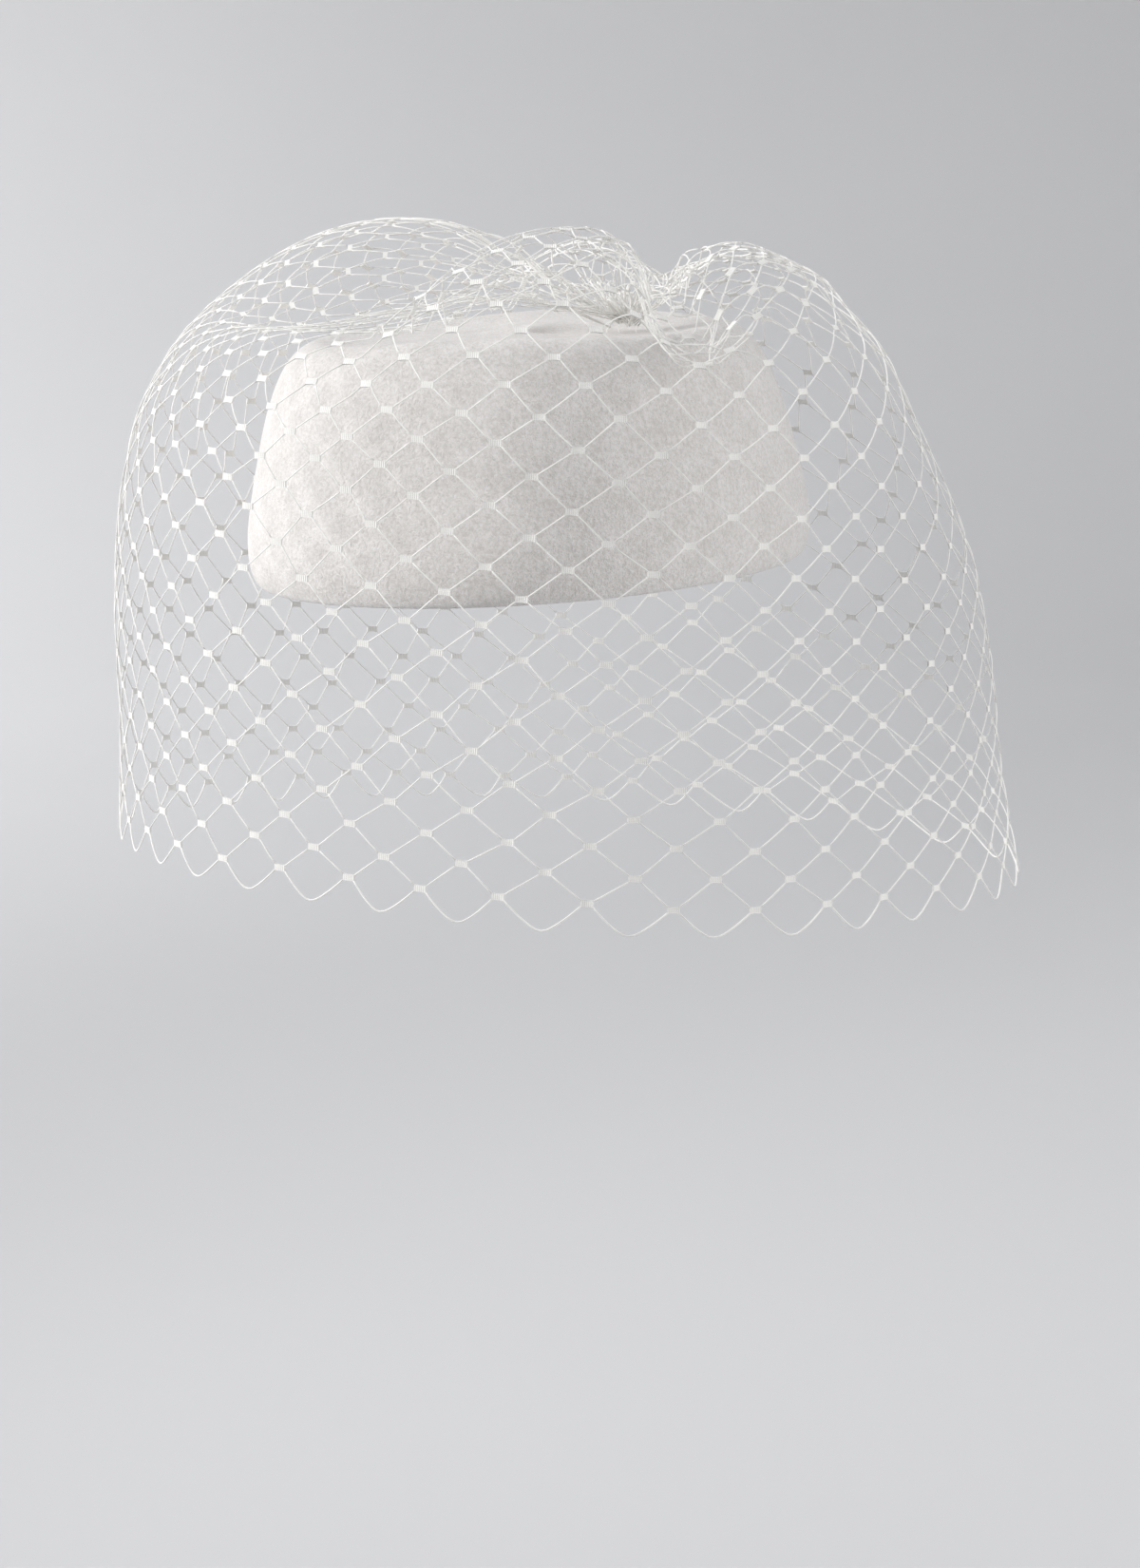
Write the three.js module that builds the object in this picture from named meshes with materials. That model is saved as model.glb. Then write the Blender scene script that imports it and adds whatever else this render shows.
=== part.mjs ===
// Pillbox hat of blocked wool felt, with a gathered birdcage veil of coarse netting.
//
// Millimetres, +Z up. The origin is the centre of the head opening, in the plane of the felt's
// bottom edge. The front of the hat faces -Y and the wearer's left is +X. A bearing is an angle
// round the hat in degrees, 0 at the front and 90 at the wearer's left.

import * as THREE from "three";
import { mergeVertices } from "three/addons/utils/BufferGeometryUtils.js";

// The felt crown, blocked from one piece.
const FELT_WALL = 2.5; // thickness of the felt
const OPENING_LONG = 102; // half length of the oval at the bottom edge, front to back, outside
const OPENING_WIDE = 85.7; // half width of the same oval
const CROWN_HEIGHT = 78; // bottom edge to the ridge round the tip
const CROWN_LEAN = { x: -2.5, y: -4.5 }; // how far the tip sits from above the opening's centre
const FELT_SIDES = 52; // facets round the crown

// The veil, a strip of netting joined into a tube and gathered along its top edge.
const NET_WALL = 1.2; // thickness of the net as a solid
const NET_COLUMNS = 36; // diamonds of the real net round the hem
const LAST_ROW = 34; // half diamonds from the hem up to the gather
const GAP_COLUMNS = 18; // gaps cut through in each row, one for two diamonds of the real net
const GAP_ROWS = 5; // rows of whole gaps above the first row of half gaps
const HEM_BAND_ROW = 1.6; // top of the band along the hem
const SCALLOP_ROW = 0.8; // top of the notches between the hem's scallops
const GAP_PITCH = 2.4; // rows of the net from one row of gaps to the next
const STRAND_SHARE = 0.27; // part of a gap's half width that its strands take up
const HALF_GAP = { heart: 0.4, strands: 1.25 }; // height of a half gap's middle in gap rows, and how
// much more of it the strands take up than in a whole gap
const DOME_SIDES = 72; // facets round the upper veil
const DOME_STEP = 1.8; // rows of the net from one ring of its facets to the next
const DOME_FOOT = 0.8; // rows of the net from the last points of the gaps to the first ring
const HEM_TILT = { x: -0.064, y: -0.114 }; // how the hanging part drops towards the left and back
const TILT_ROWS = { none: 26, over: 14 }; // row with no tilt, and the rows below it that it grows over
const GATHER_FLOOR = LAST_ROW + 1; // stands for the flat middle of the gather, past the last row

// The outside of the felt from its bottom edge to the middle of the tip: height in millimetres, and
// reach as a share of the oval at the bottom edge.
const FELT_OUTSIDE = [
  { height: 0, reach: 0.985 },
  { height: 2.5, reach: 1.005 },
  { height: 9, reach: 1.02 },
  { height: 19, reach: 1.013 },
  { height: 30, reach: 0.988 },
  { height: 48, reach: 0.945 },
  { height: 61, reach: 0.903 },
  { height: 69.5, reach: 0.868 },
  { height: 74.5, reach: 0.835 },
  { height: 77.3, reach: 0.793 },
  { height: CROWN_HEIGHT, reach: 0.75 },
  { height: 77.2, reach: 0.695 },
  { height: 76.2, reach: 0.62 },
  { height: 75.8, reach: 0.5 },
  { height: 75.8, reach: 0 },
];

// The veil from hem to gather, a row of this table for a level of the net. Reach and height are
// those of the puffs, foldReach and foldHeight those of the folds between them, x and y are where
// the level is centred, and oval is how much of the hanging oval's shape it has.
const VEIL_LEVELS = [
  { row: 0, reach: 126, height: -100, foldReach: 126, foldHeight: -100, x: 17, y: 11.5, oval: 1 },
  { row: 4, reach: 122.5, height: -65, foldReach: 122.5, foldHeight: -65, x: 16, y: 9.7, oval: 1 },
  { row: 9, reach: 120, height: -19, foldReach: 120, foldHeight: -19, x: 15, y: 8, oval: 1 },
  { row: 13, reach: 117, height: 18, foldReach: 117, foldHeight: 18, x: 14, y: 5.5, oval: 0.9 },
  { row: 17, reach: 115, height: 55, foldReach: 113, foldHeight: 54, x: 9, y: -1, oval: 0.45 },
  { row: 19, reach: 109, height: 74, foldReach: 105, foldHeight: 68, x: 8, y: -3, oval: 0.32 },
  { row: 21, reach: 98, height: 91, foldReach: 95, foldHeight: 77, x: 8, y: -4, oval: 0.25 },
  { row: 23, reach: 88, height: 104, foldReach: 85, foldHeight: 80.5, x: 11, y: -3, oval: 0.2 },
  { row: 25, reach: 74, height: 112, foldReach: 73, foldHeight: 81, x: 14, y: -2, oval: 0.15 },
  { row: 27, reach: 58.5, height: 114, foldReach: 59, foldHeight: 81, x: 18, y: 2, oval: 0.1 },
  { row: 29, reach: 42, height: 109, foldReach: 45, foldHeight: 80.5, x: 21, y: 7, oval: 0.05 },
  { row: 31, reach: 27.5, height: 98, foldReach: 31, foldHeight: 80, x: 24, y: 12, oval: 0 },
  { row: 33, reach: 16, height: 84, foldReach: 17, foldHeight: 79.3, x: 27, y: 16, oval: 0 },
  { row: 34, reach: 10, height: 76.9, foldReach: 10, foldHeight: 76.9, x: 28, y: 18, oval: 0 },
];

// The oval of the hanging part: its reach every 30 degrees, as a share of the level's own reach.
const OVAL = [
  { bearing: -180, share: 1.134 },
  { bearing: -150, share: 1.04 },
  { bearing: -120, share: 1.004 },
  { bearing: -90, share: 1.082 },
  { bearing: -60, share: 1.286 },
  { bearing: -30, share: 1.238 },
  { bearing: 0, share: 1.085 },
  { bearing: 30, share: 1.008 },
  { bearing: 60, share: 0.936 },
  { bearing: 90, share: 0.921 },
  { bearing: 120, share: 1.053 },
  { bearing: 150, share: 1.24 },
];

// The puffs over the crown, and the share of the table's rise above the folds that each has.
const PUFFS = [
  { bearing: 22, rise: 0.93 },
  { bearing: 118, rise: 0.7 },
  { bearing: 200, rise: 0.78 },
  { bearing: -80, rise: 0.88 },
];
const PUFF_SPREAD = 45; // degrees over which one puff's height turns into the next

// The folds that draw the netting down to the crown between the puffs.
const FOLDS = [
  { bearing: -36, spread: 15, depth: 1 },
  { bearing: 77, spread: 11, depth: 1 },
  { bearing: 160, spread: 15, depth: 0.8 },
  { bearing: -125, spread: 15, depth: 0.8 },
];

// How the net's columns lie round the veil, in turns.
const COLUMN_START = 0.041; // the first column at the middle rows
const COLUMN_LEAN = 0.0015; // how far a column leans in each row
const COLUMN_TWIST = 0.002; // further lean in each row of the upper veil
const CROWDING = { share: 0.033, at: 0.3 }; // the cloth is gathered a little closer at the back
const LEAN_ROWS = { middle: 9, twist: 13, end: 22 };
const ROUND_STEPS = 720; // places at which the way round the veil is measured
const SAME_PLACE = 1e-4; // corners of the net closer than this, in columns and rows, are one

const turn = (degrees) => (degrees * Math.PI) / 180;
const wrapped = (degrees) => ((((degrees + 180) % 360) + 360) % 360) - 180;
const clamp01 = (value) => Math.min(1, Math.max(0, value));
const smooth = (value) => clamp01(value) ** 2 * (3 - 2 * clamp01(value));

// A smooth curve through one column of a table, at any place along its key column.
function along(table, key, column, place) {
  const x = table.map((row) => row[key]);
  const y = table.map((row) => row[column]);
  const last = table.length - 1;
  const at = Math.min(x[last], Math.max(x[0], place));
  let i = 0;
  while (i < last - 1 && at > x[i + 1]) i += 1;
  const step = (j) => x[j + 1] - x[j];
  const rise = (j) => (y[j + 1] - y[j]) / step(j);
  const slope = (j) => {
    if (j === 0) return rise(0);
    if (j === last) return rise(last - 1);
    return (rise(j - 1) * step(j) + rise(j) * step(j - 1)) / (step(j - 1) + step(j));
  };
  const h = step(i);
  const t = (at - x[i]) / h;
  return (
    (2 * t ** 3 - 3 * t ** 2 + 1) * y[i] +
    (t ** 3 - 2 * t ** 2 + t) * h * slope(i) +
    (3 * t ** 2 - 2 * t ** 3) * y[i + 1] +
    (t ** 3 - t ** 2) * h * slope(i + 1)
  );
}

// The oval's share at a bearing, a smooth closed curve through the rows of OVAL.
function ovalShare(bearing) {
  const count = OVAL.length;
  const place = ((wrapped(bearing) + 180) / 360) * count;
  const i = Math.floor(place);
  const f = place - i;
  const [a, b, c, d] = [-1, 0, 1, 2].map((j) => OVAL[(i + j + count) % count].share);
  return b + 0.5 * f * (c - a + f * (2 * a - 5 * b + 4 * c - d + f * (3 * (b - c) + d - a)));
}

const foldAt = (bearing) =>
  FOLDS.reduce(
    (sum, fold) => sum + fold.depth * Math.exp(-((wrapped(bearing - fold.bearing) / fold.spread) ** 2)),
    0,
  );

function puffRise(bearing) {
  let sum = 0;
  let weights = 0;
  for (const puff of PUFFS) {
    const weight = Math.exp(-((wrapped(bearing - puff.bearing) / PUFF_SPREAD) ** 2));
    sum += weight * puff.rise;
    weights += weight;
  }
  return sum / weights;
}

// The middle of the netting's thickness, at a bearing and a row of the net.
function veilPoint(bearing, row) {
  const level = (column) => along(VEIL_LEVELS, "row", column, row);
  const fold = foldAt(bearing);
  const stand = (level("height") - level("foldHeight")) * puffRise(bearing) * (1 - fold);
  const flat = level("reach") + (level("foldReach") - level("reach")) * fold;
  const reach = flat * (1 + level("oval") * (ovalShare(bearing) - 1));
  const x = level("x") + reach * Math.sin(turn(bearing));
  const y = level("y") - reach * Math.cos(turn(bearing));
  const hanging = smooth((TILT_ROWS.none - row) / TILT_ROWS.over);
  const z = level("foldHeight") + stand + hanging * (HEM_TILT.x * x + HEM_TILT.y * y);
  return new THREE.Vector3(x, y, z);
}

// Even lengths of netting round the veil: the share of the way round at each bearing.
const ROUND = [];
{
  let walked = 0;
  for (let i = 0; i <= ROUND_STEPS; i += 1) {
    const bearing = -180 + (360 * i) / ROUND_STEPS;
    const here = veilPoint(bearing, LEAN_ROWS.middle).setZ(0);
    if (i) walked += here.distanceTo(ROUND[i - 1].here);
    ROUND.push({ bearing, walked, here });
  }
  for (const stop of ROUND) stop.share = stop.walked / walked;
}
const FRONT_SHARE = ROUND[ROUND_STEPS / 2].share;

function bearingAt(share) {
  const turns = Math.floor(share);
  const rest = share - turns;
  let i = 1;
  while (i < ROUND.length - 1 && ROUND[i].share < rest) i += 1;
  const [from, to] = [ROUND[i - 1], ROUND[i]];
  const part = (rest - from.share) / (to.share - from.share);
  return from.bearing + part * (to.bearing - from.bearing) + 360 * turns;
}

// The bearing of a column of the net at one of its rows; columns count whole diamonds.
function columnBearing(column, row) {
  const leaning = Math.min(row, LEAN_ROWS.end);
  const lean = COLUMN_LEAN * (leaning - LEAN_ROWS.middle);
  const twist = COLUMN_TWIST * Math.max(0, leaning - LEAN_ROWS.twist);
  const even = COLUMN_START + column / NET_COLUMNS + lean + twist;
  const crowded = even + CROWDING.share * Math.sin(2 * Math.PI * (even - CROWDING.at));
  return bearingAt(crowded + FRONT_SHARE);
}

const netPoint = (column, row) => veilPoint(columnBearing(column, row), row);

// The outward direction of the netting at a place on it.
function netNormal(column, row) {
  const step = 0.05;
  const low = Math.max(0, row - step);
  const high = Math.min(LAST_ROW, row + step);
  const across = netPoint(column + step, row).sub(netPoint(column - step, row));
  const up = netPoint(column, high).sub(netPoint(column, low));
  return across.cross(up).normalize();
}

// Flat triangles on the net, as corners given by column and row. Corners that fall on the same
// place share a number, and a column past the last one is the first again.
class NetSheet {
  constructor() {
    this.corners = [];
    this.numbers = new Map();
    this.triangles = [];
  }
  corner(column, row) {
    const wound = ((column % NET_COLUMNS) + NET_COLUMNS) % NET_COLUMNS;
    const around = Math.round(wound / SAME_PLACE) % Math.round(NET_COLUMNS / SAME_PLACE);
    const name = `${row === GATHER_FLOOR ? 0 : around}/${Math.round(row / SAME_PLACE)}`;
    if (!this.numbers.has(name)) {
      this.numbers.set(name, this.corners.length);
      this.corners.push({ column: wound, row });
    }
    return this.numbers.get(name);
  }
  triangle(a, b, c) {
    const ids = [a, b, c].map(([column, row]) => this.corner(column, row));
    if (new Set(ids).size === 3) this.triangles.push(ids);
  }
  // A strip between two lines of corners that run the same way, the second one on the left.
  strip(first, second) {
    for (let i = 0; i + 1 < first.length; i += 1) {
      this.triangle(first[i], first[i + 1], second[i + 1]);
      this.triangle(first[i], second[i + 1], second[i]);
    }
  }
  // The sheet with its wall, as one closed mesh: an outer face, an inner face, and a side along
  // each edge that only one triangle has.
  solid(wall) {
    const outer = [];
    const inner = [];
    for (const { column, row } of this.corners) {
      const floor = row === GATHER_FLOOR;
      const middle = floor ? gatherMiddle() : netPoint(column, row);
      const out = floor ? new THREE.Vector3(0, 0, 1) : netNormal(column, row);
      outer.push(middle.clone().addScaledVector(out, wall / 2));
      inner.push(middle.clone().addScaledVector(out, -wall / 2));
    }
    const count = outer.length;
    const faces = [];
    const open = new Map();
    for (const [a, b, c] of this.triangles) {
      faces.push(a, b, c, c + count, b + count, a + count);
      for (const [from, to] of [[a, b], [b, c], [c, a]]) {
        if (!open.delete(`${to}/${from}`)) open.set(`${from}/${to}`, [from, to]);
      }
    }
    for (const [from, to] of open.values()) {
      faces.push(to, from, from + count, to, from + count, to + count);
    }
    const geometry = new THREE.BufferGeometry();
    geometry.setFromPoints([...outer, ...inner]);
    geometry.setIndex(faces);
    return geometry;
  }
}

function gatherMiddle() {
  const last = VEIL_LEVELS[VEIL_LEVELS.length - 1];
  return new THREE.Vector3(last.x, last.y, last.height);
}

const between = (a, b, share) => a.map((value, i) => value + (b[i] - value) * share);

// A closed line through the corners, with a middle point on each side.
function withMiddles(corners) {
  const line = [];
  corners.forEach((corner, i) => {
    line.push(corner, between(corner, corners[(i + 1) % corners.length], 0.5));
  });
  return [...line, line[0]];
}

// The strands round one gap: a band between the gap's cell and the gap, which is the cell drawn
// in towards its middle.
function gapFrame(sheet, corners, share) {
  const middle = corners
    .reduce((sum, corner) => sum.map((value, i) => value + corner[i]), [0, 0])
    .map((value) => value / corners.length);
  const cell = withMiddles(corners);
  const gap = cell.map((corner) => between(corner, middle, share));
  sheet.strip(cell, gap);
}

function buildVeil() {
  const sheet = new NetSheet();
  const pitch = NET_COLUMNS / GAP_COLUMNS;
  const rowOf = (j) => HEM_BAND_ROW + j * GAP_PITCH;
  const top = rowOf(GAP_ROWS + 1);

  // The hem, scalloped like the real one, under the first row of gaps.
  for (let i = 0; i < NET_COLUMNS; i += 1) {
    const scallop = [[i, SCALLOP_ROW], [i + 0.5, 0], [i + 1, SCALLOP_ROW]];
    sheet.strip(scallop, scallop.map(([column]) => [column, HEM_BAND_ROW]));
  }

  for (let i = 0; i < GAP_COLUMNS; i += 1) {
    const left = i * pitch;
    const right = left + pitch;
    const middle = left + pitch / 2;
    // The first row has half gaps that stand on the hem band.
    const [base, peak] = [rowOf(0), rowOf(1)];
    const foot = Array.from({ length: 2 * pitch + 1 }, (_, n) => [left + n / 2, base]);
    const sides = [[right, base], [middle, peak], [left, base]];
    const ring = [...foot, between(sides[0], sides[1], 0.5), sides[1], between(sides[1], sides[2], 0.5)];
    ring.push(foot[0]);
    const heart = [middle, base + HALF_GAP.heart * GAP_PITCH];
    const share = HALF_GAP.strands * STRAND_SHARE;
    sheet.strip(ring, ring.map((corner) => between(corner, heart, share)));
    for (let j = 1; j <= GAP_ROWS; j += 1) {
      const shift = j % 2 ? -pitch / 2 : 0;
      const cell = [
        [middle + shift, rowOf(j - 1)],
        [right + shift, rowOf(j)],
        [middle + shift, rowOf(j + 1)],
        [left + shift, rowOf(j)],
      ];
      gapFrame(sheet, cell, STRAND_SHARE);
    }
  }

  // The uncut upper veil starts from the points of the last row of gaps.
  const shift = GAP_ROWS % 2 ? -pitch / 2 : 0;
  for (let i = 0; i < GAP_COLUMNS; i += 1) {
    const from = i * pitch + pitch / 2 + shift;
    const low = [from + pitch / 2, rowOf(GAP_ROWS)];
    const [start, end] = [[from, top], [from + pitch, top]];
    const line = [start, between(start, low, 0.5), low, between(low, end, 0.5), end];
    sheet.strip(line, line.map(([column]) => [column, top + DOME_FOOT]));
  }
  const rows = [top + DOME_FOOT];
  while (rows[rows.length - 1] < LAST_ROW - DOME_STEP / 2) rows.push(rows[rows.length - 1] + DOME_STEP);
  rows[rows.length - 1] = LAST_ROW;
  rows.push(GATHER_FLOOR);
  const around = Array.from({ length: DOME_SIDES + 1 }, (_, i) => (i * NET_COLUMNS) / DOME_SIDES);
  for (let j = 0; j + 1 < rows.length; j += 1) {
    sheet.strip(around.map((column) => [column, rows[j]]), around.map((column) => [column, rows[j + 1]]));
  }
  return sheet.solid(NET_WALL);
}

// The felt's profile out from the middle of the tip, down the outside, and back up the inside.
function feltProfile() {
  const size = (OPENING_LONG + OPENING_WIDE) / 2;
  const outside = FELT_OUTSIDE.map(({ height, reach }) => new THREE.Vector2(reach * size, height));
  const inside = outside.map((point, i) => {
    const before = outside[Math.max(0, i - 1)];
    const after = outside[Math.min(outside.length - 1, i + 1)];
    const way = after.clone().sub(before).normalize();
    return point.clone().add(new THREE.Vector2(-way.y, way.x).multiplyScalar(FELT_WALL));
  });
  inside[0].set(outside[0].x - FELT_WALL, 0);
  inside[inside.length - 1].x = 0;
  return [...inside.reverse(), ...outside];
}

// The profile is turned round, then drawn out to the oval and leant.
function buildCrown() {
  const size = (OPENING_LONG + OPENING_WIDE) / 2;
  const turned = new THREE.LatheGeometry(feltProfile(), FELT_SIDES);
  turned.rotateX(Math.PI / 2);
  turned.deleteAttribute("normal");
  turned.deleteAttribute("uv");
  const geometry = mergeVertices(turned, 1e-3);
  const places = geometry.getAttribute("position");
  for (let i = 0; i < places.count; i += 1) {
    const height = places.getZ(i);
    const lean = height / CROWN_HEIGHT;
    const x = (places.getX(i) * OPENING_WIDE) / size + CROWN_LEAN.x * lean;
    const y = (places.getY(i) * OPENING_LONG) / size + CROWN_LEAN.y * lean;
    places.setXYZ(i, x, y, height);
  }
  return geometry;
}

function named(name, geometry, finish) {
  geometry.computeVertexNormals();
  const mesh = new THREE.Mesh(geometry, new THREE.MeshStandardMaterial(finish));
  mesh.name = name;
  return mesh;
}

const hat = new THREE.Group();
hat.add(named("felt_crown", buildCrown(), { color: 0xe9e6e6, roughness: 0.95, metalness: 0 }));
hat.add(named("veil", buildVeil(), { color: 0xf4f2ec, roughness: 0.55, metalness: 0 }));

export default hat;
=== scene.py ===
"""Looks of a veiled felt pillbox hat: its felt, its gathered netting and a plain studio.

Metres, +Z up. The origin is the centre of the head opening, the front of the hat faces -Y and the
wearer's left is +X. A bearing is an angle round the hat in degrees, 0 at the front and 90 at the
wearer's left. A column counts the net's diamonds round the veil, and a row its half diamonds from
the hem up to the gather.
"""

import math

import bmesh
import bpy
import numpy as np
from bpy.props import FloatProperty, FloatVectorProperty, IntProperty, PointerProperty
from mathutils import Matrix, Vector


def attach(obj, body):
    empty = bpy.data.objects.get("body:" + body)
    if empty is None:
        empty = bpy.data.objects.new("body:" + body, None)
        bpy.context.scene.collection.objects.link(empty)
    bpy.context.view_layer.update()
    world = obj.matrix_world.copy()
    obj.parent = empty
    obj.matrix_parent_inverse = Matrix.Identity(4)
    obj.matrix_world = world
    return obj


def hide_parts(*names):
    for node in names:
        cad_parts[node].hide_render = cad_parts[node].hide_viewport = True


bl_info = {
    "name": "Veiled Pillbox Hat",
    "version": (1, 0, 0),
    "blender": (4, 5, 0),
    "location": "View3D > Sidebar > Hat",
    "description": "Models a felt pillbox hat with a gathered veil of diamond netting",
    "category": "Object",
}

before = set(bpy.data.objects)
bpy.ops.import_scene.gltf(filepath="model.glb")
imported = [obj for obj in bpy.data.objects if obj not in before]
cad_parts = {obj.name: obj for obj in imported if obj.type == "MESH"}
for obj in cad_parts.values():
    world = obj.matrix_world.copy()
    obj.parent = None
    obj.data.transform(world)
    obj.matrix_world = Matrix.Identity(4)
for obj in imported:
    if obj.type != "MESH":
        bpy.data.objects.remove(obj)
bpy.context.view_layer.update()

MM = 0.001

# The veil from hem to gather, a row for a level of the net, in millimetres. Reach and height are
# those of the puffs, fold_reach and fold_height those of the folds between them, x and y are where
# the level is centred, and oval is how much of the hanging oval's shape it has.
LEVEL_COLUMNS = ("row", "reach", "height", "fold_reach", "fold_height", "x", "y", "oval")
VEIL_LEVELS = (
    (0, 126, -100, 126, -100, 17, 11.5, 1),
    (4, 122.5, -65, 122.5, -65, 16, 9.7, 1),
    (9, 120, -19, 120, -19, 15, 8, 1),
    (13, 117, 18, 117, 18, 14, 5.5, 0.9),
    (17, 115, 55, 113, 54, 9, -1, 0.45),
    (19, 109, 74, 105, 70.8, 8, -3, 0.32),
    (21, 98, 91, 95, 80, 8, -4, 0.25),
    (23, 88, 104, 85, 82, 11, -3, 0.2),
    (25, 74, 112, 73, 84, 14, -2, 0.15),
    (27, 58.5, 114, 59, 87, 18, 2, 0.1),
    (29, 42, 109, 45, 89, 21, 7, 0.05),
    (31, 27.5, 98, 31, 88, 24, 12, 0),
    (33, 13, 85, 14, 83, 27, 16, 0),
    (34, 3, 79, 3, 79, 28, 18, 0),
)
LEVELS = dict(zip(LEVEL_COLUMNS, np.array(VEIL_LEVELS, dtype=float).T))
# The hanging oval's reach, as a share, at twelve even bearings from the back to the wearer's right,
# the front and the wearer's left.
OVAL = np.array([1.134, 1.04, 1.004, 1.082, 1.286, 1.238, 1.085, 1.008, 0.936, 0.921, 1.053, 1.24])
PUFFS = ((62, 0.93), (134.5, 0.36), (204.5, 0.69), (-69, 1.05))  # bearing, rise
PUFF_SPREAD = 45  # how far round each puff carries, in degrees
FOLDS = (  # bearing, spread, depth
    (-36, 22.5, 1), (-5.6, 17, 0.86), (-1, 7, 0.61), (63.5, 7, 0.72), (69, 16.4, 0.73),
    (170, 29, 0.21), (179.5, 14.6, 0.62), (-120.7, 19.5, 0.86),
)
DIP = {"bearing": 68, "spread": 10, "row": 23.5, "rows": 2.6, "drop": 9}  # the deepest fold
HEM_TILT = (-0.064, -0.114)  # how far the hanging net tilts with x and with y
TILT_NONE, TILT_OVER = 26, 14  # the row from which it isn't tilted, and the rows it fades over

NET_COLUMNS = 36
LAST_ROW = 34
ROUND_STEPS = 720
# Shares of the way round the veil: where column 0 hangs, how far a column leans with each row from
# LEAN_MIDDLE, up to LEAN_END, and how much more with each row above TWIST_START.
COLUMN_START, COLUMN_LEAN, COLUMN_TWIST = 0.041, 0.0015, 0.0022
LEAN_MIDDLE, TWIST_START, LEAN_END = 9, 13, 22
CROWDING = {"share": 0.033, "from": 0.3}  # how the columns crowd at one side of the veil
FULL_SPACING = 7  # millimetres from a knot to half a column on, where it has its full size
LEAST_FIT = 0.25  # the smallest size of a knot, as a share
CRUMPLE_START, CRUMPLE_OVER = 26, 5  # the row where the netting starts to crumple, rows till full
CRUMPLE = 2.4  # how far a crumpled knot is tossed, in millimetres
GATHER = (28, 18, 79)

# The outside of the felt from its bottom edge to the tip: height in millimetres and reach as a
# share of the oval at the bottom edge.
FELT_OUTSIDE = (
    (0, 0.985), (2.5, 1.005), (9, 1.02), (19, 1.013), (30, 0.988), (48, 0.943), (60, 0.902),
    (68, 0.862), (73.3, 0.822), (76.7, 0.775), (78, 0.73), (77.4, 0.68), (76.3, 0.61),
    (75.8, 0.5), (75.8, 0.36), (75.8, 0.22), (75.8, 0.09),
)
OPENING_HALF = (85.7, 102)  # half width and half length of the oval
CROWN_HEIGHT = 78
CROWN_LEAN = (0.3, -2.5)  # how far the tip sits aside from the opening
BLOCKING_WAVE = 0.006  # unevenness of the hand-blocked side at the tip, as a share of its reach
BLOCKING_LIFT = 0.0011  # unevenness of the tip's height, in metres
SHOULDER = np.array(FELT_OUTSIDE[:2:-1], dtype=float)  # the outside above its widest place
FELT_GAP = 1.2  # least height of the netting over the felt

STRAND_SIDES, STRAND_POINTS = 5, 6
KNOT_RINGS = 13
KNOT_CORNER = (0.9, 0.72)  # where strands leave a knot, as shares of its half length and height
KNOT_WAIST, KNOT_END = 0.82, 0.86  # a knot's height at its middle and its ends, as shares
KNOT_GROOVE = 0.75  # a knot's thickness between its ribs, as a share
HEM_SIDES, HEM_POINTS = 6, 17
HEM_ROUND = 0.04  # how rounded the hem's loops are at the bottom
HEM_THICKNESS = 1.24  # of a hem loop, as a share of a strand's

# The gather's ruffle of cut loops, its wound thread and its stitches, in millimetres. A second
# number is how much one loop may differ, width is half a loop's angle in radians, and turn is how
# far round from its even place a loop or stitch sits, as a share of the step between two.
RUFFLE = {
    "loops": 22, "points": 19, "foot": 2.2, "width": 0.3, "turn": 0.3,
    "reach": (7, 4), "height": (10, 3.5),
}
RUFFLE_LOOP = (  # share of the width, share of the reach, share of the height
    (-1, 0.25, 0.05), (-0.9, 0.6, 0.5), (-0.45, 1.0, 0.95),
    (0.45, 1.05, 0.93), (0.9, 0.62, 0.5), (1, 0.25, 0.05),
)
WINDING = {
    "turns": 4, "steps": 24, "points": 121, "reach": 3.6, "foot": 0.6, "pitch": 0.45,
    "thickness": 0.8,
}
WINDING_WAVES = ((0.25, 2.3), (0.2, 1.7))  # size and waves a radian, of its reach and its height
STITCHES = {"count": 8, "points": 9, "turn": 0.2, "foot": -3.4, "thickness": 0.7}
STITCH = (  # out from the gather, aside, above the foot
    (4.2, -0.4, 3.6), (5.6, 0, 2.2), (7.0, 0.3, 0.5), (7.4, 0.3, -0.8),
)

# Loose loops at the deepest fold, as points in millimetres that their strands pass through.
CURLS_LONG = (
    ((57, -51, 109), (64, -46, 107), (68, -43, 105), (71, -42, 102), (72, -41, 97), (73, -41, 92),
     (73, -41, 88), (74, -40, 83), (75, -39, 79), (78, -39, 75), (81, -39, 73), (84, -37, 73),
     (86, -34, 73), (87, -29, 75), (86, -24, 77), (83, -20, 80), (79, -18, 82), (77, -18, 84),
     (74, -20, 83), (72, -24, 84), (73, -26, 87), (74, -28, 91), (76, -27, 94), (78, -24, 96)),
    ((53, -51, 105), (60, -46, 105), (66, -42, 103), (70, -41, 98), (72, -41, 93), (72, -40, 87),
     (73, -39, 81), (76, -37, 76), (79, -36, 72), (81, -34, 69), (83, -30, 69), (85, -24, 69)),
    ((58, -38, 101), (65, -38, 97), (69, -38, 91), (72, -39, 85), (74, -36, 79), (76, -33, 74),
     (78, -31, 71), (81, -28, 70), (85, -24, 69)),
)
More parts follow.
